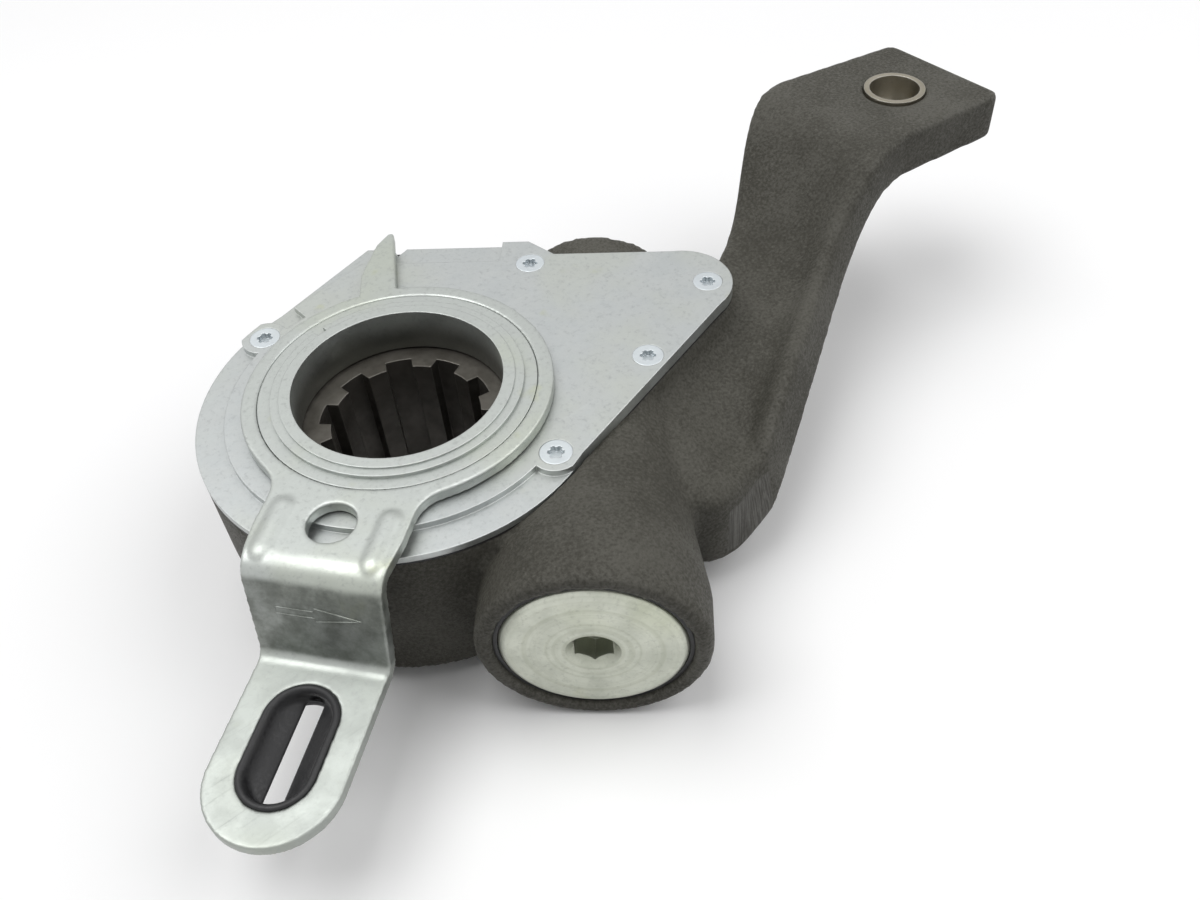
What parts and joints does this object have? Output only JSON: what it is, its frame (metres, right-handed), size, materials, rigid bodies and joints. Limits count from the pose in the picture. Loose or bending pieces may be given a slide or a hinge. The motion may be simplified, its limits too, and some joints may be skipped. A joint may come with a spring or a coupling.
{
  "type": "brake slack adjuster",
  "caption": "Self-setting brake slack adjuster: cast body with an offset clevis arm, a splined worm wheel turned by a worm, and a slotted control arm that works a rack.",
  "frame": {"origin": "on the camshaft axis, at the height of the worm axis", "axes": "+X along the arm to the clevis bush, +Z along the camshaft axis out of the cover"},
  "size_m": [0.2447, 0.1328, 0.0576],
  "materials": {
    "body_iron": "phosphated, matte",
    "cover_zinc": "zinc plated, satin",
    "arm_zinc": "zinc plated, satin with a faint yellow tint",
    "plug_zinc": "zinc plated, turned",
    "bush_metal": "plain bearing",
    "gear_steel": "machined, oiled",
    "seal_rubber": "matte"
  },
  "bodies": {
    "adjuster_body": {"housing": "body_iron", "arm_bush": "bush_metal", "cover_plate": "cover_zinc", "cover_gasket": "seal_rubber", "cover_screw_rear": "cover_zinc", "cover_screw_edge": "cover_zinc", "cover_screw_corner": "cover_zinc", "cover_screw_side": "cover_zinc", "cover_screw_front": "cover_zinc", "end_plug": "plug_zinc", "plug_seal": "seal_rubber", "main_spring": "gear_steel", "thrust_ring": "gear_steel", "shaft_bush": "bush_metal", "shaft_seal": "seal_rubber", "sleeve_seal": "seal_rubber", "wheel_seal": "seal_rubber"},
    "wheel": {"worm_wheel": "gear_steel"},
    "worm": {"worm_thread": "gear_steel", "worm_nose": "gear_steel", "worm_shaft": "gear_steel", "clutch_ring": "gear_steel"},
    "pinion_set": {"pinion": "gear_steel", "wrap_spring": "gear_steel"},
    "rack_set": {"rack": "gear_steel"},
    "control_unit": {"control_arm": "arm_zinc", "slot_insert": "seal_rubber", "control_sleeve": "arm_zinc", "control_disc": "gear_steel", "retaining_washer": "arm_zinc", "snap_ring": "arm_zinc"}
  },
  "joints": [
    {"name": "wheel_turn", "type": "hinge", "parent": "adjuster_body", "child": "wheel", "pos_m": [0, 0, 0], "axis": [0, 0, 1], "continuous": true},
    {"name": "worm_turn", "type": "hinge", "parent": "adjuster_body", "child": "worm", "pos_m": [0.03217, -0.027, 0], "axis": [0.6428, 0.766, 0], "continuous": true},
    {"name": "control_swing", "type": "hinge", "parent": "adjuster_body", "child": "control_unit", "pos_m": [0, 0, 0], "axis": [0, 0, 1], "range_deg": [-10, 10]},
    {"name": "rack_travel", "type": "slide", "parent": "adjuster_body", "child": "rack_set", "axis": [-0.766, 0.6428, 0], "range_m": [-0.0054, 0.0054]},
    {"name": "pinion_turn", "type": "hinge", "parent": "adjuster_body", "child": "pinion_set", "pos_m": [0.03217, -0.027, 0], "axis": [0.6428, 0.766, 0], "range_deg": [-34.5, 34.5]}
  ],
  "couplings": [
    {"joint": "worm_turn", "follows": "wheel_turn", "ratio": 24},
    {"joint": "rack_travel", "follows": "control_swing", "m_per_rad": 0.0305},
    {"joint": "pinion_turn", "follows": "control_swing", "ratio": -3.3889}
  ]
}
